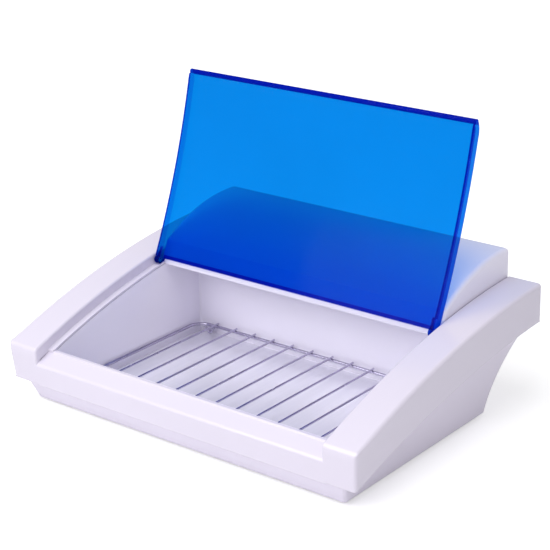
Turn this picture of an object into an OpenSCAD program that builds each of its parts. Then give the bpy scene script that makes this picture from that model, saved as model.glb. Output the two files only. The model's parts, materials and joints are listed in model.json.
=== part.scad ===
// Tabletop ultraviolet tool steriliser cabinet with a tinted flip-up lid and a wire rack.
// Frame: X to the right, Y to the back, Z up. Z = 0 is the face the rubber feet stand on,
// and X = 0, Y = 0 is the middle of the housing seen from above.

/* [Housing] */
// Width across the two side cheeks
body_w = 380; // [378:1:384]
// Depth from the front face to the back face
body_d = 276; // [272:1:282]
// Height of the cheeks above the underside, at the front edge
front_h = 54; // [52:1:56]
// Height of the cheeks above the underside, at the back edge
back_h = 108.5; // [106:0.5:112]
// Radius of the long arc along the top of each cheek
cheek_r = 820; // [780:10:880]
// Width of each cheek
cheek_w = 33.6; // [33:0.2:34.4]
// Wall of the upper shell and the hood
skin = 2.5; // [2:0.1:3]
// Draft of the shell's walls, from the shoulder down to the parting edge
draft = 2.5; // [1:0.5:4]

/* [Base tub] */
// Height of the parting edge above the underside, at the front
seam_front_h = 19; // [17:0.5:21]
// Height of the parting edge above the underside, at the back
seam_back_h = 73; // [71:0.5:75]
// Radius of the arc of the parting edge
seam_r = 895; // [850:5:950]
// Wall of the base tub
tub_wall = 2; // [1.6:0.1:2.2]
// Half width of the tub's flat underside
tub_half = 170; // [166:1:172]
// Setback of the underside behind the front face
tub_front = 14; // [12:0.5:16]
// Height of the rubber feet below the underside
foot_h = 2; // [1.5:0.5:4]

/* [Hood] */
// Height of the hood's back edge above the underside
hood_h = 134; // [131:0.5:137]
// Radius of the hood's curved top
hood_r = 165; // [155:1:180]
// Depth of the hood's front lip behind the front face
hood_front = 166.5; // [166.3:0.1:167]
// Lean of the hood's front, which the open lid stands against, above the horizontal
hood_lean = 66; // [62:1:68]

/* [Chamber] */
// Half width of the chamber between its side walls
chamber_half = 150.4; // [150:0.1:151]
// Sheet thickness of the chamber liner
liner_t = 1.2; // [0.8:0.1:1.3]
// Depth of the front bar between the front face and the chamber
bar_d = 20; // [18:0.5:21]
// Depth of the chamber's back wall behind the front face
chamber_back = 215; // [213:0.5:215]
// Step from the cheek's top down to the ledge that the lid rests on
ledge_drop = 9.8; // [9.6:0.1:11]

/* [Lid] */
// Gap between the lid and each cheek
lid_gap = 1.2; // [1:0.1:1.6]
// Reach of the lid's arc ahead of the front face, before the nose turns down
lid_reach = 3; // [2:0.5:4]
// Thickness of the lid's panel
lid_t = 2.5; // [2:0.1:3]
// Depth of the lid's side flanges
flange_d = 9.2; // [8:0.1:9.3]
// Angle that the lid swings from open to shut
lid_swing = 125; // [110:1:125]
// Depth of the hinge axis behind the front face
hinge_y = 160.5; // [160:0.1:161]
// Height of the hinge axis above the underside
hinge_z = 92; // [91.8:0.1:92]

/* [Rack] */
// Diameter of the rack's rim wire
rim_d = 3; // [2.5:0.1:3.2]
// Diameter of the rack's cross wires
wire_d = 2; // [1.6:0.1:2.4]
// Number of cross wires
wire_count = 12; // [8:1:14]
// Height of the rim wire's middle above the underside
rack_h = 13.4; // [13:0.1:15]

/* [Lamp] */
// Diameter of the lamp's glass tube
lamp_d = 15.5; // [15:0.1:16]
// Length of the lamp without its pins
lamp_l = 288; // [286:0.5:288.5]
// Depth of the lamp's axis behind the front face
lamp_y = 194; // [193.5:0.1:194.5]
// Height of the lamp's axis above the underside
lamp_z = 96; // [95.8:0.1:96.4]

/* [Hidden] */

$fn = 48;
big_fn = 720;
gap = 0.3;
tall = 200;
half_w = body_w / 2;
cheek_in = half_w - cheek_w;
lid_half = cheek_in - lid_gap;
tub_flare = 17;
tub_flare_h = 70;
stern_r = 83;
stern_y = 301.5;
stern_z = 6;
tongue = 2.2;
rim_half = half_w - draft - skin - 0.6;
rim_front = tub_front - 8.5;
rim_back = body_d - 27;
stern_shelf = rim_back + 1;
floor_z = tub_wall + gap + liner_t;
plate_t = 0.8;
plate_z = floor_z + plate_t;
liner_back = chamber_back + liner_t;
ceiling_z = 85.7;
bay_back = 203;
lip_z = ceiling_z + gap;
hood_half = cheek_in - 0.5;
panel_y = body_d - 3.5;
panel_t = 2.5;
split_z = 100;
chassis_z = 76;
chassis_t = 1.2;
chassis_top = chassis_z + chassis_t;
nose_r = 18;
nose_turn = 42;
bead_d = 4.4;
ear_r = 3.8;
lid_end = hinge_y - 2.5;
pin_r = 2;
pin_fit = 0.05;
boss_x = cheek_in + 4.2;
boss_r = 4;
screw_r = 1.5;
screw_head_r = 3;
boss_ys = [42, 188];
panel_screw_x = 148;
panel_screw_zs = [80, 97];
foot_x = 138;
foot_ys = [36, 196];
lean_h = front_h - 8;
bar_front_h = 40;
bar_front = draft * (lean_h - bar_front_h) / (lean_h - seam_front_h);
bar_back_h = 47;
bar_rim_h = 48.5;
foot_r = 7;
rack_front = bar_d + 3.5;
rack_back = 210;
rack_half = 148.4;
rack_corner = 14;
wire_overhang = 2;
leg_r = 1.2;
leg_bend = 2.5;
leg_slope = 50;
leg_inset = 13;
reflector_r = 11.4;
reflector_t = 0.8;
reflector_half = 143.6;
reflector_lip_z = 87.6;
rotor_r = 6;
rotor_l = 6;
lamp_pin_r = 1.2;
lamp_pin_pitch = 5;
cap_l = 14;
switch_x = 62;
inlet_x = 95;
rear_z = 88.5;
rocker_rest = 10;
cam_x = cheek_in + 6;
cam_t = 3;
cam_l = 13;
cam_down = 35;
stub_r = 1.2;

cheek_p = [0, front_h];
cheek_q = [body_d, back_h];
seam_p = [0, seam_front_h];
seam_q = [body_d, seam_back_h];
hood_p = [hood_front, lip_z + 16];
hood_q = [body_d, hood_h];

// Middle of the circle of radius r whose upper arc joins p to q
function arc_middle(p, q, r) =
    let (c = norm(q - p), u = (q - p) / c) (p + q) / 2 + [u.y, -u.x] * sqrt(r * r - c * c / 4);
// Height of that arc, moved in by drop, at depth y
function arc_height(p, q, r, y, drop) =
    let (m = arc_middle(p, q, r)) m.y + sqrt(pow(r - drop, 2) - pow(y - m.x, 2));

module place() { translate([0, -body_d / 2, foot_h]) children(); }
// Side outline (depth, height) drawn out along X from x0 to x1
module across(x0, x1) { translate([x0, 0, 0]) rotate([90, 0, 90]) linear_extrude(x1 - x0) children(); }
module both_sides() { children(); mirror([1, 0, 0]) children(); }
// Everything below an arc moved in by drop
module below_arc(p, q, r, drop) { translate(arc_middle(p, q, r)) circle(r - drop, $fn = big_fn); }
module below_cheek(drop) { below_arc(cheek_p, cheek_q, cheek_r, drop); }
module below_seam(drop) { below_arc(seam_p, seam_q, seam_r, drop); }
module span(y0, y1, z0, z1) { translate([y0, z0]) square([y1 - y0, z1 - z0]); }
module bar_x(x0, x1, y, z, r) { translate([x0, y, z]) rotate([0, 90, 0]) cylinder(h = x1 - x0, r = r); }
module rod_y(x, y0, y1, z, r) { translate([x, y0, z]) rotate([-90, 0, 0]) cylinder(h = y1 - y0, r = r); }
module block(lo, hi) { translate(lo) cube(hi - lo); }

// ---- upper shell: two cheeks, the bar between them and the ledges under the lid

// Outline of a cheek seen from the side, moved in by inset; the front leans in with the draft
module cheek_outline(inset) {
    intersection() {
        below_cheek(inset);
        polygon([[draft + inset, 0], [draft + inset, seam_front_h], [inset, lean_h],
            [inset, tall], [body_d - inset, tall], [body_d - inset, 0]]);
    }
}
// The shell seen from the front, with the draft of its sides
module front_outline(inset) {
    wide = half_w - inset;
    narrow = wide - draft;
    polygon([[-narrow, 0], [-narrow, seam_front_h], [-wide, front_h], [-wide, tall],
        [wide, tall], [wide, front_h], [narrow, seam_front_h], [narrow, 0]]);
}
// Front outline (X, height) drawn out over the whole depth
module along() { translate([0, body_d, 0]) rotate([90, 0, 0]) linear_extrude(body_d) children(); }
module drafted(inset) { along() front_outline(inset); }
// Section of the bar: a front flush with the cheeks, a sloped top and a raised rim at the chamber
module bar_section() {
    difference() {
        polygon([[draft, seam_front_h], [bar_front, bar_front_h], [bar_d - 4, bar_back_h],
            [bar_d - 3.4, bar_rim_h], [bar_d, bar_rim_h], [bar_d, seam_front_h]]);
        polygon([[draft + skin, 0], [draft + skin, seam_front_h], [bar_front + skin, bar_front_h - skin],
            [bar_d - 4, bar_back_h - skin], [bar_d + 1, bar_back_h - skin], [bar_d + 1, 0]]);
        span(bar_d - liner_t, bar_d + 1, 0, bar_rim_h - 1.7);
    }
}
module cheek_solid() {
    intersection() {
        across(cheek_in, half_w) difference() { cheek_outline(0); below_seam(0); }
        drafted(0);
    }
}
module cheek_hollow() {
    intersection() {
        across(cheek_in + skin, half_w) difference() {
            cheek_outline(skin);
            difference() { below_seam(-skin); span(0, stern_shelf, 0, tall); }
        }
        drafted(skin);
    }
}
// The cheek's inner wall stops at the ledge; the tub's rim passes under it
module below_ledge() {
    across(cheek_in - 1, cheek_in + skin) intersection() {
        below_cheek(ledge_drop + skin);
        span(skin + draft, stern_shelf, 0, tall);
    }
}
module shell_bosses() {
    for (y = boss_ys) difference() {
        translate([boss_x, y, tub_wall + gap])
            cylinder(h = arc_height(cheek_p, cheek_q, cheek_r, y, skin) - tub_wall - gap + 0.5, r = boss_r);
        translate([boss_x, y, 0]) cylinder(h = 14, r = screw_r);
    }
}
module upper_shell() {
    color("#ece8f6") place() {
        both_sides() difference() {
            union() {
                difference() { cheek_solid(); cheek_hollow(); below_ledge(); }
                across(chamber_half, cheek_in + skin) difference() {
                    intersection() { below_cheek(ledge_drop); span(bar_d - 4, hood_front - gap, 0, tall); }
                    below_cheek(ledge_drop + skin);
                }
                shell_bosses();
            }
            bar_x(cheek_in - 1, cheek_in + skin + 1, hinge_y, hinge_z, pin_r + pin_fit);
        }
        across(cheek_in, cheek_in + skin) span(hinge_y + 3.5, hinge_y + 22.5, hinge_z - 24, hinge_z - 1);
        across(-cheek_in - skin, cheek_in + skin) bar_section();
    }
}

// ---- hood over the lamp bay and the electrical bay

// Seen from the side: a short upright front, a lean that clears the open lid, then the long arc
module hood_outline(inset) {
    foot = hood_front + inset;
    knee = lip_z + 4;
    intersection() {
        below_arc(hood_p, hood_q, hood_r, inset);
        polygon([[foot, lip_z], [foot, knee], [foot + (tall - knee) / tan(hood_lean), tall],
            [body_d - inset, tall], [body_d - inset, lip_z]]);
    }
}
module hood_cover() {
    color("#e6e2f2") place() {
        across(-hood_half, hood_half) difference() {
            hood_outline(0);
            hood_outline(skin);
            span(panel_y, body_d + 1, 0, split_z);
        }
        both_sides() across(hood_half - skin, hood_half) difference() {
            hood_outline(0);
            span(panel_y - panel_t - gap, body_d + 1, 0, split_z);
            }
        across(-hood_half + skin, hood_half - skin) span(hood_front, hood_front + 5, lip_z, lip_z + 1.6);
        both_sides() difference() {
            rod_y(hood_half - skin - 5, panel_y + 0.2, body_d, split_z + 4.2, 3.6);
            rod_y(hood_half - skin - 5, panel_y - 1, body_d + 1, split_z + 4.2, screw_r);
        }
    }
}

// ---- base tub: slanted walls, a stern that sweeps back and up, and the rim that carries the shell

module tub_side(inset) {
    difference() {
        polygon([[tub_front + inset, inset], [rim_front + inset, seam_front_h], [rim_front + inset, tall],
            [rim_back, tall], [rim_back, inset]]);
        translate([stern_y, stern_z]) circle(stern_r + inset, $fn = 180);
    }
}
module tub_front_view(inset) {
    narrow = tub_half - inset;
    wide = narrow + tub_flare;
    polygon([[-narrow, inset], [-wide, tub_flare_h], [-wide, tall],
        [wide, tall], [wide, tub_flare_h], [narrow, inset]]);
}
module tub_solid(inset) {
    intersection() {
        across(-half_w, half_w) tub_side(inset);
        along() tub_front_view(inset);
    }
}
module base_tub() {
    color("#dcd6ea") place() difference() {
        union() {
            intersection() { tub_solid(0); across(-half_w, half_w) below_seam(0); }
            across(-rim_half, rim_half) intersection() {
                difference() { below_seam(-tongue); below_seam(0); }
                span(rim_front, rim_back, 0, tall);
            }
        }
        tub_solid(tub_wall);
        both_sides() for (y = boss_ys) {
            translate([boss_x, y, -1]) cylinder(h = 4, r = screw_r + 0.2);
            translate([boss_x, y, -1]) cylinder(h = 2, r = screw_head_r + 0.2);
        }
        both_sides() for (y = foot_ys) translate([foot_x, y, -1]) cylinder(h = 2, r = foot_r + 0.1);
    }
}
module rubber_feet() {
    color("#3a3a40") place() both_sides() for (y = foot_ys) translate([foot_x, y, -foot_h]) {
        cylinder(h = foot_h + 1, r = foot_r);
    }
}
module base_screws() {
    color("silver") place() both_sides() for (y = boss_ys) translate([boss_x, y, 0]) difference() {
        union() {
            translate([0, 0, 0.1]) cylinder(h = 0.9, r = screw_head_r);
            translate([0, 0, 1]) cylinder(h = 11, r = screw_r);
        }
        for (a = [0, 90]) rotate([0, 0, a]) translate([-2, -0.4, 0]) cube([4, 0.8, 0.6]);
    }
}

// ---- chamber

module liner_outline(inset) {
    intersection() {
        below_cheek(ledge_drop + skin + gap);
        span(bar_d - liner_t + inset, liner_back - inset, tub_wall + gap + inset, ceiling_z);
    }
}
module chamber_liner() {
    color("#d9d4ec") place() difference() {
        across(-chamber_half - liner_t, chamber_half + liner_t) intersection() {
            liner_outline(0);
            union() { span(0, bar_d + 0.01, 0, 43.2); span(bar_d - 0.01, body_d, 0, tall); }
        }
        across(-chamber_half, chamber_half) {
            intersection() {
                span(bar_d, chamber_back, floor_z, tall);
                union() { span(0, bay_back, 0, tall); span(0, chamber_back, 0, ceiling_z - liner_t); }
            }
        }
    }
}
module floor_plate() {
    color("#c9c6da") place()
        block([-chamber_half + 1, bar_d + 1, floor_z], [chamber_half - 1, chamber_back - 1, plate_z]);
}

// ---- back of the housing

module rear_cutouts() {
    block([switch_x - 9.9, 0, rear_z - 6.5], [switch_x + 9.9, body_d, rear_z + 6.5]);
    block([inlet_x - 10.1, 0, rear_z - 6.1], [inlet_x + 10.1, body_d, rear_z + 6.1]);
    both_sides() for (z = panel_screw_zs) rod_y(panel_screw_x, 0, body_d, z, screw_r + 0.2);
}
module rear_panel() {
    color("#e2ddf0") place() difference() {
        across(-hood_half + 0.2, hood_half - 0.2) {
            span(panel_y - panel_t, panel_y, seam_back_h, split_z - gap);
            span(stern_shelf, body_d, seam_back_h, seam_back_h + panel_t);
        }
        difference() { rear_cutouts(); block([-tall, 0, 0], [tall, panel_y - panel_t - 1, tall]); }
        both_sides() for (z = panel_screw_zs)
            rod_y(panel_screw_x, panel_y - 1.2, body_d, z, screw_head_r + 0.2);
    }
}
module panel_screws() {
    color("silver") place() both_sides() for (z = panel_screw_zs) difference() {
        union() {
            rod_y(panel_screw_x, panel_y - 1.1, panel_y - 0.1, z, screw_head_r);
            rod_y(panel_screw_x, panel_y - 9, panel_y - 1.1, z, screw_r);
        }
        for (a = [0, 90]) translate([panel_screw_x, panel_y - 0.5, z]) rotate([0, a, 0])
            translate([-2, 0, -0.4]) cube([4, 1, 0.8]);
    }
}
// Steel shelf that carries the electrical parts, with two lugs that the panel's screws bite into
module chassis_plate() {
    color("#b8bac2") place() {
        block([-140, 219, chassis_z], [140, panel_y - panel_t, chassis_top]);
        both_sides() difference() {
            block([138.8, panel_y - 12, chassis_top], [152, panel_y - panel_t, split_z]);
            for (z = panel_screw_zs) rod_y(panel_screw_x, 0, body_d, z, screw_r);
            block([141, 0, chassis_top + 6.5], [200, body_d, split_z - 6.5]);
        }
    }
}
module ballast() {
    color("#8d9098") place() {
        block([-122, 228, chassis_top + 1.5], [-42, 262, chassis_top + 27]);
        block([-130, 232, chassis_top], [-34, 258, chassis_top + 1.5]);
        for (x = [-126, -38]) translate([x, 245, chassis_top + 1.5]) cylinder(h = 2, r = 3);
    }
}
module starter_socket() {
    color("#f2f2ee") place() {
        block([12, 232, chassis_top], [22, 258, chassis_top + 24]);
        block([22, 238, chassis_top], [30, 252, chassis_top + 1.4]);
    }
}
module starter() {
    color("#f6f4ea") place() {
        bar_x(22, 56, 245, chassis_top + 12.4, 10.6);
        bar_x(56, 58, 245, chassis_top + 12.4, 8.5);
    }
}
module terminal_block() {
    color("#f0f0f0") place() difference() {
        block([-26, 236, chassis_top], [4, 252, chassis_top + 14]);
        for (i = [0:2]) translate([-21 + 10 * i, 244, chassis_top + 6]) cylinder(h = 10, r = 2.2);
    }
}
// A wire laid as straight runs with round corners
module wire(points, r) {
    for (i = [0:len(points) - 2]) {
        v = points[i + 1] - points[i];
        translate(points[i]) {
            rotate([0, acos(v.z / norm(v)), atan2(v.y, v.x)]) cylinder(h = norm(v), r = r, $fn = 24);
            if (i > 0) sphere(r, $fn = 24);
        }
    }
}
module lead_wires() {
    color("#e8e8e8") place() {
        wire([[-26, 250, 83], [-32, 250, 83], [-32, 268, 83], [-32, 268, 118], [-149, 268, 118],
            [-149, 208, 118], [-149, 208, 99], [-149, 202, 99]], 0.9);
        wire([[4, 250, 88], [8, 250, 88], [8, 264, 88], [8, 264, 116], [149, 264, 116],
            [149, 208, 116], [149, 208, 99], [149, 202, 99]], 0.9);
        wire([[4, 240, 82], [8, 240, 82], [8, 225, 82], [inlet_x, 225, 82], [inlet_x, 225, 88],
            [inlet_x, 252.5, 88]], 0.9);
        wire([[-21, 236, 85], [-21, 222, 85], [switch_x, 222, 85], [switch_x, panel_y - 14.1, 85]], 0.9);
    }
}
module power_inlet() {
    color("#26262a") place() difference() {
        union() {
            block([inlet_x - 13, panel_y, rear_z - 8], [inlet_x + 13, panel_y + 2, rear_z + 8]);
            block([inlet_x - 10, panel_y - 17, rear_z - 6], [inlet_x + 10, panel_y, rear_z + 6]);
        }
        for (s = [-1, 1]) rod_y(inlet_x + 3.8 * s, panel_y - 12, panel_y + 3, rear_z, 4.2);
        block([inlet_x - 3.8, panel_y - 12, rear_z - 4.2], [inlet_x + 3.8, panel_y + 3, rear_z + 4.2]);
    }
}
module inlet_pins() {
    color("silver") place() for (s = [-1, 1])
        rod_y(inlet_x + 4.2 * s, panel_y - 12, panel_y - 3, rear_z, 1.2);
}
module switch_frame() {
    color("#1e1e20") place() difference() {
        union() {
            block([switch_x - 12.5, panel_y, rear_z - 8], [switch_x + 12.5, panel_y + 2, rear_z + 8]);
            block([switch_x - 9.8, panel_y - 14, rear_z - 6.4], [switch_x + 9.8, panel_y, rear_z + 6.4]);
        }
        block([switch_x - 8.9, panel_y - 12, rear_z - 5.5], [switch_x + 8.9, panel_y + 3, rear_z + 5.5]);
        rod_z(switch_x, panel_y - 2, rear_z - 6.2, rear_z + 6.2, 1.05);
    }
}
module rod_z(x, y, z0, z1, r) { translate([x, y, z0]) cylinder(h = z1 - z0, r = r); }
module rocker() {
    color("#2c2c30") place() translate([switch_x, panel_y - 2, 0]) rotate([0, 0, rocker_rest]) {
        translate([0, 0, rear_z - 5.2]) linear_extrude(10.4)
            polygon([[-8, -1.5], [-8, 3.2], [0, 4.2], [8, 3.2], [8, -1.5], [3, -4], [-3, -4]]);
        rod_z(0, 0, rear_z - 6.1, rear_z + 6.1, 1);
    }
}

// ---- lamp bay

// Folded bright sheet over the lamp: half round, two legs and two flat lips
module lamp_reflector() {
    color("#d7dae2") place() across(-reflector_half, reflector_half) {
        intersection() {
            translate([lamp_y, lamp_z]) difference() {
                circle(reflector_r + reflector_t, $fn = 90);
                circle(reflector_r, $fn = 90);
            }
            span(0, body_d, lamp_z, tall);
        }
        for (y = [lamp_y - reflector_r - reflector_t, lamp_y + reflector_r])
            span(y, y + reflector_t, reflector_lip_z, lamp_z);
        span(hood_front + 6, lamp_y - reflector_r, reflector_lip_z, reflector_lip_z + reflector_t);
        span(lamp_y + reflector_r, liner_back, reflector_lip_z, reflector_lip_z + reflector_t);
    }
}
module lamp_holders() {
    color("#f4f4f2") place() both_sides() difference() {
        union() {
            block([144.8, lamp_y - 7.5, lamp_z - 8.2], [hood_half - skin, lamp_y + 7.5, lamp_z + 2]);
            bar_x(144.8, hood_half - skin, lamp_y, lamp_z + 1, 7.5);
        }
        bar_x(144, 144.8 + rotor_l + gap, lamp_y, lamp_z, rotor_r + 0.25);
    }
}
module holder_rotors() {
    color("#e0e0de") place() both_sides() difference() {
        bar_x(144.6, 144.6 + rotor_l, lamp_y, lamp_z, rotor_r);
        for (s = [-1, 1]) bar_x(144, 151, lamp_y, lamp_z + s * lamp_pin_pitch / 2, lamp_pin_r);
    }
}
module lamp_tube() {
    color("#eef2ff") place() difference() {
        bar_x(-lamp_l / 2 + 2, lamp_l / 2 - 2, lamp_y, lamp_z, lamp_d / 2);
        bar_x(-lamp_l / 2 + 4, lamp_l / 2 - 4, lamp_y, lamp_z, lamp_d / 2 - 0.8);
    }
}
module lamp_caps() {
    color("#c4c6cc") place() both_sides() difference() {
        bar_x(lamp_l / 2 - cap_l, lamp_l / 2, lamp_y, lamp_z, lamp_d / 2 + 0.4);
        bar_x(lamp_l / 2 - cap_l - 1, lamp_l / 2 - 2, lamp_y, lamp_z, lamp_d / 2);
    }
}
module lamp_pins() {
    color("#c8a850") place() both_sides() for (s = [-1, 1]) {
        bar_x(lamp_l / 2, lamp_l / 2 + 6.4, lamp_y, lamp_z + s * lamp_pin_pitch / 2, lamp_pin_r);
    }
}

// ---- lid, drawn shut on the cheeks and swung back to its open rest place

module lid_open() {
    hinge = [0, hinge_y, hinge_z];
    translate(hinge) rotate([-lid_swing, 0, 0]) translate(-hinge) children();
}
// Start of the nose on the cheek's arc, drawn on ahead of the front face, and the arc's slope there
nose_p = [-lid_reach, arc_height(cheek_p, cheek_q, cheek_r, -lid_reach, 0)];
nose_slope = asin((arc_middle(cheek_p, cheek_q, cheek_r).x + lid_reach) / cheek_r);
nose_c = nose_p - nose_r * [-sin(nose_slope), cos(nose_slope)];
function nose_ray(turn) = [-sin(nose_slope + turn), cos(nose_slope + turn)];
nose_tip = nose_c + (nose_r - bead_d / 2 + 0.2) * nose_ray(nose_turn);
// The part of a disc round nose_c that lies in the nose's turn
module nose_disc(inset) {
    intersection() {
        translate(nose_c) circle(nose_r - inset, $fn = 120);
        polygon([nose_c, for (turn = [-2, nose_turn / 2, nose_turn]) nose_c + 2 * nose_r * nose_ray(turn)]);
    }
}
// Area under the lid's outline seen from the side: the cheek's arc, then the nose turned down
module lid_side(inset) {
    intersection() {
        below_cheek(inset);
        polygon([nose_c, nose_c + 2 * nose_r * nose_ray(0), [lid_end, tall], [lid_end, nose_c.y]]);
    }
    nose_disc(inset);
}
module lid_panel() {
    color("#1466e6", 0.6) place() lid_open() {
        across(-lid_half, lid_half) {
            difference() { lid_side(0); lid_side(lid_t); }
            translate(nose_tip) circle(bead_d / 2);
        }
        both_sides() difference() {
            union() {
                across(lid_half - 2.2, lid_half) difference() { lid_side(0); below_cheek(flange_d); }
                bar_x(lid_half - 5.2, lid_half, hinge_y, hinge_z, ear_r);
                across(lid_half - 5.2, lid_half) difference() {
                    intersection() { below_cheek(0); span(hinge_y - 12, hinge_y, 0, tall); }
                    below_cheek(flange_d - 1.5);
                }
            }
            bar_x(lid_half - 4.4, lid_half + 1, hinge_y, hinge_z, pin_r);
        }
    }
}
module hinge_pins() {
    color("silver") place() both_sides() {
        bar_x(lid_half - 4.4, cheek_in + skin + 0.6, hinge_y, hinge_z, pin_r);
        bar_x(cheek_in + skin + 0.6, cam_x + cam_t + 0.4, hinge_y, hinge_z, stub_r);
    }
}
// Small arm on the right hinge pin, inside the hollow cheek; shut, it points back and down
module interlock_cam() {
    color("#efefef") place() lid_open() difference() {
        union() {
            bar_x(cam_x, cam_x + cam_t, hinge_y, hinge_z, pin_r);
            across(cam_x, cam_x + cam_t) translate([hinge_y, hinge_z]) rotate(-cam_down)
                polygon([[0, -pin_r], [0, pin_r], [cam_l, 1.4], [cam_l, -1.4]]);
        }
        bar_x(cam_x - 1, cam_x + cam_t + 1, hinge_y, hinge_z, stub_r);
    }
}
// Small snap switch that the arm presses when the lid is shut
module interlock_switch() {
    color("#2a2a2e") place() {
        block([cheek_in + skin, hinge_y + 4.5, hinge_z - 22], [cam_x + cam_t, hinge_y + 22.5, hinge_z - 14]);
        block([cam_x, hinge_y + 9, hinge_z - 14], [cam_x + cam_t, hinge_y + 12, hinge_z - 10.2]);
    }
}

// ---- wire rack

module rack_rim() {
    color("#8d88a8") place() {
        x = rack_half - rack_corner;
        y0 = rack_front + rack_corner;
        y1 = rack_back - rack_corner;
        r = rim_d / 2;
        for (y = [rack_front, rack_back]) bar_x(-x, x, y, rack_h, r);
        for (s = [-1, 1]) {
            rod_y(s * rack_half, y0, y1, rack_h, r);
            translate([s * x, y1, rack_h]) rotate([0, 0, s > 0 ? 0 : 90]) quarter_bend(rack_corner, r);
            translate([s * x, y0, rack_h]) rotate([0, 0, s > 0 ? 270 : 180]) quarter_bend(rack_corner, r);
        }
    }
}
// A quarter ring of wire of radius r, bent round a circle of radius bend
module quarter_bend(bend, r) {
    rotate_extrude(angle = 90, $fn = 60) translate([bend, 0]) circle(r, $fn = 32);
}
module rack_wires() {
    pitch = 2 * rack_half / (wire_count + 1);
    z = rack_h + (rim_d + wire_d) / 2;
    color("#a5a2bd") place() for (i = [1:wire_count]) {
        rod_y(-rack_half + i * pitch, rack_front - 1, rack_back + wire_overhang, z, wire_d / 2);
    }
}
// Four feet, each a wire bent to a V under the rim with its point on the floor
module rack_legs() {
    middle_z = plate_z + 0.1 + leg_r + leg_bend;
    top_z = rack_h - rim_d / 2 - 0.1 - leg_r * cos(leg_slope);
    arm = (top_z - middle_z) / sin(leg_slope) + leg_bend / tan(leg_slope);
    color("#8d88a8") place() both_sides() for (y = [rack_front, rack_back])
        translate([rack_half - leg_inset, y, middle_z]) rotate([90, 0, 0]) {
            rotate([0, 0, 270 - leg_slope]) rotate_extrude(angle = 2 * leg_slope, $fn = 90)
                translate([leg_bend, 0]) circle(leg_r, $fn = 32);
            for (m = [0, 1]) mirror([m, 0, 0])
                translate(leg_bend * [sin(leg_slope), -cos(leg_slope), 0]) rotate([0, 90, leg_slope])
                    cylinder(h = arm, r = leg_r, $fn = 32);
        }
}

upper_shell();
hood_cover();
base_tub();
chamber_liner();
floor_plate();
rear_panel();
chassis_plate();
lamp_reflector();
lamp_holders();
ballast();
starter_socket();
starter();
terminal_block();
lead_wires();
power_inlet();
inlet_pins();
switch_frame();
interlock_switch();
rubber_feet();
base_screws();
panel_screws();
lid_panel();
hinge_pins();
interlock_cam();
rack_rim();
rack_wires();
rack_legs();
lamp_tube();
lamp_caps();
lamp_pins();
holder_rotors();
rocker();
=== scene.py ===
import json
import math

import bmesh
import bpy
from mathutils import Matrix, Vector

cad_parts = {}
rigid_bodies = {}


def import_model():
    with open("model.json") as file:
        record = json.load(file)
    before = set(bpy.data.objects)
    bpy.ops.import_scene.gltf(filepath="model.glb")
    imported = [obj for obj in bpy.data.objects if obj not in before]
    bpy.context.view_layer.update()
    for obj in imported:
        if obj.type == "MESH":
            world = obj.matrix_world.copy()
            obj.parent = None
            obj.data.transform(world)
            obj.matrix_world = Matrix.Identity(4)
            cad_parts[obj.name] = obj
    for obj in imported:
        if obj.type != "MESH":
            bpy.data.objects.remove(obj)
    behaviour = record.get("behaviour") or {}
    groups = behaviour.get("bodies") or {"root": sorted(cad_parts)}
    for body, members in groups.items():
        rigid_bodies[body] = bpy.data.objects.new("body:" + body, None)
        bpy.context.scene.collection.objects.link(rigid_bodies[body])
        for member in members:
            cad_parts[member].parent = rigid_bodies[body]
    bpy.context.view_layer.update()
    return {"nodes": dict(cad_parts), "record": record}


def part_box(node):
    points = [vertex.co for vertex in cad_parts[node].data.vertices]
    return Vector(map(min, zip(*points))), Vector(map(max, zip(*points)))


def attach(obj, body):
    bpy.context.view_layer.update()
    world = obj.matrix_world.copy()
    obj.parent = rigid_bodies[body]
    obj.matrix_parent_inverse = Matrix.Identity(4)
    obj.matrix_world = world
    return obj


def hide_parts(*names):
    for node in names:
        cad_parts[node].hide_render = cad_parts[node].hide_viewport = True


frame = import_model()
NODES = frame["nodes"]
SLOT_OF = {part["node"]: part["material_slot"] for part in frame["record"]["subparts"]}
BODY_OF = {
    node: body
    for body, members in frame["record"]["behaviour"]["bodies"].items()
    for node in members
}
MM = 0.001
SHELL_LO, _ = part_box("upper_shell")
TUB_LO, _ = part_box("base_tub")
FRONT_Y = SHELL_LO[1]
UNDER_Z = TUB_LO[2]

# The housing in millimetres from its middle, front face and underside, as local() gives them.
CHEEK_FRONT, CHEEK_BACK, CHEEK_RADIUS = (0, 54), (276, 108.5), 820
OUTER_X = 186  # just inside the cheeks' outer faces
TUB_SIDE_X = 165  # between the tub's slanted side walls and its middle
BAR_X = 157  # half width of the front bar between the cheeks
HOOD_SIDE_X = 154  # half width of the hood's flat top
BACK_Y = 275  # just in front of the back faces
HINGE_Y, HINGE_Z, LID_SWING = 160.5, 92.0, math.radians(125)
LID_SIDE, BEAD_Y, RAIL_Y, FLANGE_DEPTH = 155.0, -10.0, 155.4, 7.5


# ---------------------------------------------------------------- materials


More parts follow.
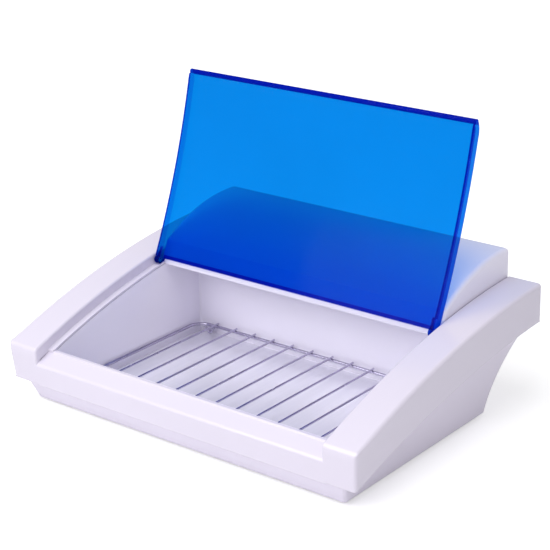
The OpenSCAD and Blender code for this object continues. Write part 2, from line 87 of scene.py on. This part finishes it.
class Tree:
    """Builds one procedural material in object space."""

    def __init__(self, name, stretch=(1, 1, 1)):
        self.material = bpy.data.materials.new(name)
        self.material.use_nodes = True
        self.tree = self.material.node_tree
        self.tree.nodes.clear()
        self.out = self.add("ShaderNodeOutputMaterial")
        where = self.add("ShaderNodeTexCoord")
        place = self.add("ShaderNodeMapping")
        place.inputs["Scale"].default_value = stretch
        self.join(where.outputs["Object"], place.inputs["Vector"])
        self.where = where
        self.vector = place.outputs["Vector"]

    def add(self, kind):
        return self.tree.nodes.new(kind)

    def join(self, source, target):
        self.tree.links.new(source, target)

    def noise(self, scale, detail=3.0, rough=0.55, seed=0.0):
        node = self.add("ShaderNodeTexNoise")
        node.noise_dimensions = "4D"
        node.inputs["W"].default_value = seed
        node.inputs["Scale"].default_value = scale
        node.inputs["Detail"].default_value = detail
        node.inputs["Roughness"].default_value = rough
        self.join(self.vector, node.inputs["Vector"])
        return node.outputs["Fac"]

    def span(self, source, low, high, start=0.3, end=0.7):
        node = self.add("ShaderNodeMapRange")
        node.inputs["From Min"].default_value = start
        node.inputs["From Max"].default_value = end
        node.inputs["To Min"].default_value = low
        node.inputs["To Max"].default_value = high
        self.join(source, node.inputs["Value"])
        return node.outputs["Result"]

    def blend(self, factor, first, second):
        node = self.add("ShaderNodeMix")
        node.data_type = "RGBA"
        self.join(factor, node.inputs["Factor"])
        for value, socket in ((first, node.inputs["A"]), (second, node.inputs["B"])):
            if isinstance(value, tuple):
                socket.default_value = (*value, 1)
            else:
                self.join(value, socket)
        return node.outputs["Result"]

    def bump(self, height, depth, strength=1.0, under=None):
        node = self.add("ShaderNodeBump")
        node.inputs["Strength"].default_value = strength
        node.inputs["Distance"].default_value = depth
        self.join(height, node.inputs["Height"])
        if under is not None:
            self.join(under, node.inputs["Normal"])
        return node.outputs["Normal"]

    def principled(self, **values):
        node = self.add("ShaderNodeBsdfPrincipled")
        for name, value in values.items():
            node.inputs[name.replace("_", " ")].default_value = value
        return node


def shade(colour, by):
    return tuple(min(1.0, c * by) for c in colour)


def plastic(name, colour, rough, coat=0.0, wave=0.0, grain=0.0, mottle=0.025, seed=0.0):
    """Moulded plastic: faint mottling, uneven gloss, a slow sink in the walls and a fine grain."""
    t = Tree(name)
    bsdf = t.principled(Metallic=0.0, IOR=1.5)
    bsdf.inputs["Coat Weight"].default_value = coat
    bsdf.inputs["Coat Roughness"].default_value = 0.08
    slow = t.noise(9.0, 4.0, 0.5, seed)
    fine = t.noise(420.0, 5.0, 0.6, seed + 3)
    dull, bright = shade(colour, 1 - mottle), shade(colour, 1 + mottle * 0.6)
    tone = t.blend(t.span(slow, 0, 1, 0.2, 0.8), dull, bright)
    speck = t.blend(t.span(fine, 0, 1, 0.66, 0.9), tone, shade(colour, 0.95))
    t.join(speck, bsdf.inputs["Base Color"])
    smear = t.noise(38.0, 6.0, 0.65, seed + 7)
    t.join(t.span(smear, rough * 0.92, rough * 1.1, 0.2, 0.8), bsdf.inputs["Roughness"])
    normal = t.bump(t.noise(14.0, 1.0, 0.3, seed + 11), 0.002, wave)
    normal = t.bump(fine, 0.00002, 0.15 + grain, normal)
    t.join(normal, bsdf.inputs["Normal"])
    t.join(bsdf.outputs["BSDF"], t.out.inputs["Surface"])
    return t.material


def metal(name, colour, rough, stretch=(1, 1, 1), grain=0.2, metallic=1.0, mottle=0.06, seed=0.0):
    """Bare or plated metal: drawn or rolled grain along one axis, with patches of duller plating."""
    t = Tree(name, stretch)
    bsdf = t.principled(Metallic=metallic)
    lines = t.noise(260.0, 6.0, 0.7, seed)
    patch = t.noise(22.0, 5.0, 0.6, seed + 5)
    tone = t.blend(t.span(lines, 0, 1), shade(colour, 1 - mottle), shade(colour, 1 + mottle * 0.5))
    tone = t.blend(t.span(patch, 0, 0.6, 0.45, 0.8), tone, shade(colour, 0.9))
    t.join(tone, bsdf.inputs["Base Color"])
    t.join(t.span(patch, rough * 0.75, rough * 1.4), bsdf.inputs["Roughness"])
    t.join(t.bump(lines, 0.00006, grain), bsdf.inputs["Normal"])
    t.join(bsdf.outputs["BSDF"], t.out.inputs["Surface"])
    return t.material


def clear(name, through, body, seen, rough, streak, seed=0.0):
    """Clear sheet: each face lets through a tint and mirrors a little; streak varies the tint."""
    t = Tree(name)
    tint = t.add("ShaderNodeBsdfTransparent")
    cloud = t.noise(5.0, 3.0, 0.5, seed)
    t.join(
        t.blend(t.span(cloud, 0, 1), shade(through, 1 - streak), shade(through, 1 + streak)),
        tint.inputs["Color"],
    )
    bsdf = t.principled(Metallic=0.0, IOR=1.49)
    fine = t.noise(300.0, 4.0, 0.6, seed + 2)
    grain = t.blend(t.span(fine, 0, 1), shade(body, 0.92), shade(body, 1.08))
    t.join(grain, bsdf.inputs["Base Color"])
    smear = t.noise(24.0, 6.0, 0.6, seed + 4)
    t.join(t.span(smear, rough * 0.6, rough * 1.6), bsdf.inputs["Roughness"])
    wave = t.bump(t.noise(8.0, 2.0, 0.4, seed + 6), 0.003, 0.05)
    t.join(wave, bsdf.inputs["Normal"])
    gloss = t.add("ShaderNodeFresnel")
    side = t.add("ShaderNodeNewGeometry")
    t.join(t.span(side.outputs["Backfacing"], 1.45, 1 / 1.45, 0, 1), gloss.inputs["IOR"])
    t.join(wave, gloss.inputs["Normal"])
    mix = t.add("ShaderNodeMixShader")
    t.join(t.span(gloss.outputs["Fac"], seen, 0.9, 0.0, 1.0), mix.inputs["Fac"])
    t.join(tint.outputs["BSDF"], mix.inputs[1])
    t.join(bsdf.outputs["BSDF"], mix.inputs[2])
    t.join(mix.outputs["Shader"], t.out.inputs["Surface"])
    return t.material


FINISH = {
    "shell_plastic": plastic("shell_plastic", (0.70, 0.655, 0.775), 0.24, 0.3, wave=0.10, seed=1),
    "base_plastic": plastic("base_plastic", (0.76, 0.71, 0.845), 0.3, 0.15, wave=0.08, seed=2),
    "liner_plastic": plastic("liner_plastic", (0.90, 0.865, 0.985), 0.24, 0.2, wave=0.06, seed=3),
    "bright_sheet": metal("bright_sheet", (0.90, 0.89, 0.99), 0.2, (1, 0.04, 1), 0.12, 0.35, seed=4),
    "reflector_sheet": metal("reflector_sheet", (0.86, 0.87, 0.90), 0.16, (0.04, 1, 1), 0.1, seed=5),
    "plated_sheet": metal("plated_sheet", (0.62, 0.63, 0.66), 0.38, (1, 1, 1), 0.2, mottle=0.12, seed=6),
    "lid_plastic": clear("lid_plastic", (0.045, 0.485, 0.85), (0.0, 0.10, 0.75), 0.02, 0.07, 0.03, seed=7),
    "chrome_wire": metal("chrome_wire", (0.50, 0.47, 0.60), 0.24, (1, 1, 1), 0.15, seed=8),
    "hinge_steel": metal("hinge_steel", (0.66, 0.66, 0.70), 0.25, (0.05, 1, 1), 0.2, seed=9),
    "cam_plastic": plastic("cam_plastic", (0.86, 0.86, 0.84), 0.4, seed=10),
    "holder_plastic": plastic("holder_plastic", (0.88, 0.88, 0.86), 0.38, seed=11),
    "lamp_glass": clear("lamp_glass", (0.90, 0.93, 0.98), (0.85, 0.90, 1.0), 0.10, 0.06, 0.02, seed=12),
    "lamp_cap": metal("lamp_cap", (0.70, 0.71, 0.73), 0.3, (1, 1, 1), 0.2, seed=13),
    "contact_brass": metal("contact_brass", (0.80, 0.60, 0.26), 0.26, (1, 1, 1), 0.2, seed=14),
    "ballast_steel": metal("ballast_steel", (0.36, 0.37, 0.40), 0.42, (1, 1, 1), 0.3, 0.3, seed=15),
    "starter_plastic": plastic("starter_plastic", (0.88, 0.86, 0.79), 0.36, seed=16),
    "wire_jacket": plastic("wire_jacket", (0.86, 0.86, 0.85), 0.5, seed=17),
    "black_plastic": plastic("black_plastic", (0.022, 0.022, 0.026), 0.42, grain=0.5, mottle=0.15, seed=18),
    "foot_rubber": plastic("foot_rubber", (0.035, 0.035, 0.04), 0.7, grain=0.7, mottle=0.2, seed=19),
    "screw_steel": metal("screw_steel", (0.62, 0.62, 0.64), 0.28, (1, 1, 1), 0.25, seed=20),
}
# Lighter copy of the shell plastic for the hood: painted light that brightens the hood where light reaches
# it through the lid.
HOOD_PAINTED_LIGHT = plastic("hood_plastic", (0.85, 0.82, 0.95), 0.24, 0.3, wave=0.08, seed=23)
LID_FLANGE = clear("lid_flange", (0.04, 0.36, 0.84), (0.002, 0.05, 0.6), 0.06, 0.08, 0.04, seed=21)
LID_EDGE = clear("lid_edge", (0.016, 0.10, 0.62), (0.004, 0.008, 0.36), 0.02, 0.09, 0.05, seed=22)

for name, node in NODES.items():
    node.data.materials.clear()
    node.data.materials.append(FINISH[SLOT_OF[name]])


# ---------------------------------------------------------------- rounded pieces


def arc_height(p, q, radius, y):
    """Height at depth y of the arc of that radius over p and q, in millimetres."""
    chord = math.dist(p, q)
    u = ((q[0] - p[0]) / chord, (q[1] - p[1]) / chord)
    back = math.sqrt(radius**2 - chord**2 / 4)
    middle = ((p[0] + q[0]) / 2 + u[1] * back, (p[1] + q[1]) / 2 - u[0] * back)
    return middle[1] + math.sqrt(radius**2 - (y - middle[0]) ** 2)


def cheek_height(y):
    return arc_height(CHEEK_FRONT, CHEEK_BACK, CHEEK_RADIUS, y)


def local(point):
    """Row coordinates in metres to millimetres from the middle, the front face and the underside."""
    return point[0] / MM, (point[1] - FRONT_Y) / MM, (point[2] - UNDER_Z) / MM


def rounded(node, radius, flat=0.15, sharp=22, segments=3):
    """Replace a CAD node by a copy with joined flats and edges rounded by radius(middle, along, hollow).

    The radius may change only at a true corner, or the bevel grows a spike there.
    """
    source = NODES[node]
    mesh = source.data.copy()
    mesh.transform(source.matrix_world)
    shape = bmesh.new()
    shape.from_mesh(mesh)
    bmesh.ops.remove_doubles(shape, verts=shape.verts, dist=1e-6)
    bmesh.ops.dissolve_limit(
        shape, angle_limit=math.radians(flat), verts=shape.verts, edges=shape.edges, delimit=set()
    )
    layer = shape.edges.layers.float.new("bevel_weight_edge")
    width = 0.0
    wanted = {}
    for edge in shape.edges:
        if len(edge.link_faces) != 2 or edge.calc_face_angle(0) < math.radians(sharp):
            continue
        a, b = (Vector(local(v.co)) for v in edge.verts)
        size = radius((a + b) / 2, (b - a).normalized(), not edge.is_convex)
        if size > 0:
            wanted[edge] = size * MM
            width = max(width, size * MM)
    for edge, size in wanted.items():
        edge[layer] = size / width
    for face in shape.faces:
        face.smooth = True
    shape.to_mesh(mesh)
    shape.free()
    mesh.name = node + "_round"
    piece = bpy.data.objects.new(node + "_round", mesh)
    bpy.context.scene.collection.objects.link(piece)
    if width:
        bevel = piece.modifiers.new("edges", "BEVEL")
        bevel.limit_method = "WEIGHT"
        bevel.width = width
        bevel.segments = segments
        bevel.use_clamp_overlap = False
        even = piece.modifiers.new("normals", "WEIGHTED_NORMAL")
        even.weight = 60
    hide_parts(node)
    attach(piece, BODY_OF[node])
    return piece


def shell_edges(m, along, hollow):
    on_arc = m.z > cheek_height(m.y) - 0.6
    outside = abs(m.x) > OUTER_X
    if hollow:
        return 0.5
    if m.y > BACK_Y and abs(m.x) < TUB_SIDE_X:
        return 0
    if on_arc and outside:
        return 3.6
    if on_arc and (m.y < 1 or m.y > BACK_Y):
        return 3.0
    if on_arc:
        return 2.2
    if outside and (m.y < 6 or m.y > 272) and abs(along.z) > 0.7:
        return 3.0
    if abs(m.x) < BAR_X and m.y < 4 and m.z > 38:
        return 2.4
    if abs(m.x) < BAR_X and m.y < 21 and m.z > 42:
        return 0.7
    return 0.5


def hood_edges(m, along, hollow):
    if hollow:
        return 0.4
    if abs(m.x) > HOOD_SIDE_X and m.y < BACK_Y and (m.z > 105 or abs(along.z) > 0.3):
        return 4.2
    if m.y > BACK_Y and m.z > 128:
        return 3.4
    if m.y > BACK_Y and abs(m.x) > HOOD_SIDE_X:
        return 1.6
    return 0.6


def tub_edges(m, along, hollow):
    if hollow:
        return 0.4
    if m.z < 1 and (abs(m.x) > TUB_SIDE_X or m.y < 20 or m.y > 210):
        return 3.2
    if abs(m.x) > TUB_SIDE_X and abs(along.z) > 0.3:
        return 3.2
    return 0.4


def liner_edges(m, along, hollow):
    if hollow:
        return 2.4 if abs(along.z) > 0.9 else 1.6
    return 0.4


rounded("upper_shell", shell_edges, segments=4)
hood = rounded("hood_cover", hood_edges, segments=5)
rounded("base_tub", tub_edges, segments=4)
rounded("chamber_liner", liner_edges, segments=4)
lid = rounded("lid_panel", lambda m, along, hollow: 0.5, segments=3)
for name, size in {
    "rear_panel": 0.5, "switch_frame": 0.6, "power_inlet": 0.6, "rocker": 0.5, "floor_plate": 0.25,
    "chassis_plate": 0.3, "ballast": 0.5, "starter_socket": 0.5, "terminal_block": 0.5,
    "interlock_switch": 0.3, "interlock_cam": 0.3, "lamp_holders": 0.5, "rubber_feet": 0.5,
}.items():
    rounded(name, lambda m, along, hollow, size=size: size)
for piece in [o for o in bpy.context.scene.objects if o.name.endswith("_round")]:
    node = piece.name[: -len("_round")]
    piece.data.materials.clear()
    piece.data.materials.append(FINISH[SLOT_OF[node]])

# The hood gets the lighter copy of the shell plastic, painted light for the light that falls on it through
# the lid.
hood.data.materials[0] = HOOD_PAINTED_LIGHT
# Flanges and free edges are seen along the sheet, so they have deeper tints. Each face's place is
# turned back to the shut lid, where the flanges hang below the cheek's arc.
lid.data.materials.append(LID_FLANGE)
lid.data.materials.append(LID_EDGE)
for face in lid.data.polygons:
    x, y, z = local(face.center)
    y, z = y - HINGE_Y, z - HINGE_Z
    shut_y = HINGE_Y + y * math.cos(LID_SWING) - z * math.sin(LID_SWING)
    shut_z = HINGE_Z + y * math.sin(LID_SWING) + z * math.cos(LID_SWING)
    depth = cheek_height(shut_y) - shut_z
    if abs(face.normal.x) > 0.7:
        face.material_index = 1 if abs(x) > LID_SIDE else 0
    elif shut_y < BEAD_Y or depth > FLANGE_DEPTH or shut_y > RAIL_Y:
        face.material_index = 2


# ---------------------------------------------------------------- stage, light and camera


def floor():
    """Plain pale floor; its glow is seen by the camera only and lights nothing."""
    mesh = bpy.data.meshes.new("studio_floor")
    half = 8.0
    mesh.from_pydata(
        [(-half, -half, 0), (half, -half, 0), (half, half, 0), (-half, half, 0)], [], [(0, 1, 2, 3)]
    )
    plane = bpy.data.objects.new("studio_floor", mesh)
    t = Tree("studio_floor")
    bsdf = t.principled(Roughness=0.6)
    bsdf.inputs["Emission Color"].default_value = (1, 1, 1, 1)
    path = t.add("ShaderNodeLightPath")
    away = t.add("ShaderNodeVectorMath")
    away.operation = "LENGTH"
    t.join(t.where.outputs["Object"], away.inputs[0])
    lift = t.add("ShaderNodeMath")
    lift.operation = "MULTIPLY"
    t.join(t.span(away.outputs["Value"], 0.45, 0.72, 0.5, 3.0), lift.inputs[0])
    t.join(path.outputs["Is Camera Ray"], lift.inputs[1])
    t.join(lift.outputs["Value"], bsdf.inputs["Emission Strength"])
    t.join(
        t.blend(t.span(t.noise(2.0, 3.0), 0, 1), (0.80, 0.80, 0.81), (0.82, 0.82, 0.83)),
        bsdf.inputs["Base Color"],
    )
    t.join(bsdf.outputs["BSDF"], t.out.inputs["Surface"])
    mesh.materials.append(t.material)
    bpy.context.scene.collection.objects.link(plane)


def world():
    """White surroundings, half as strong for light as they look."""
    sky = bpy.data.worlds.new("studio")
    sky.use_nodes = True
    tree = sky.node_tree
    back = tree.nodes["Background"]
    back.inputs["Color"].default_value = (1, 1, 1, 1)
    path = tree.nodes.new("ShaderNodeLightPath")
    level = tree.nodes.new("ShaderNodeMapRange")
    level.inputs["To Min"].default_value = 0.5
    level.inputs["To Max"].default_value = 1.0
    tree.links.new(path.outputs["Is Camera Ray"], level.inputs["Value"])
    tree.links.new(level.outputs["Result"], back.inputs["Strength"])
    bpy.context.scene.world = sky


def softbox(name, at, towards, size, power):
    light = bpy.data.lights.new(name, "AREA")
    light.shape = "RECTANGLE"
    light.size, light.size_y = size
    light.energy = power
    lamp = bpy.data.objects.new(name, light)
    lamp.location = at
    lamp.rotation_euler = (Vector(towards) - Vector(at)).to_track_quat("-Z", "Y").to_euler()
    bpy.context.scene.collection.objects.link(lamp)


def camera(at, azimuth, elevation, roll, lens):
    """Camera at a place, with its heading, downward tilt and roll in degrees."""
    a, e, r = (math.radians(v) for v in (azimuth, elevation, roll))
    ahead = Vector((-math.sin(a) * math.cos(e), math.cos(a) * math.cos(e), -math.sin(e)))
    right = Vector((math.cos(a), math.sin(a), 0))
    up = right.cross(ahead)
    side = math.cos(r) * right + math.sin(r) * up
    top = -math.sin(r) * right + math.cos(r) * up
    data = bpy.data.cameras.new("photo_view")
    data.lens = lens
    cam = bpy.data.objects.new("photo_view", data)
    cam.matrix_world = Matrix((side, top, -ahead)).transposed().to_4x4()
    cam.location = at
    bpy.context.scene.collection.objects.link(cam)
    bpy.context.scene.camera = cam


floor()
world()
softbox("key", (-0.45, -1.6, 1.15), (0, 0, 0.08), (1.5, 1.0), 18.5)
softbox("side", (1.7, -0.5, 0.35), (0.1, 0, 0.05), (1.0, 0.6), 3.2)
softbox("overhead", (-0.1, -0.55, 1.7), (0, 0, 0.05), (1.8, 1.2), 16)
camera((0.8616, -1.0756, 0.6378), 38.56, 20.65, -1.03, 110.85)
bpy.context.scene.view_settings.view_transform = "Standard"
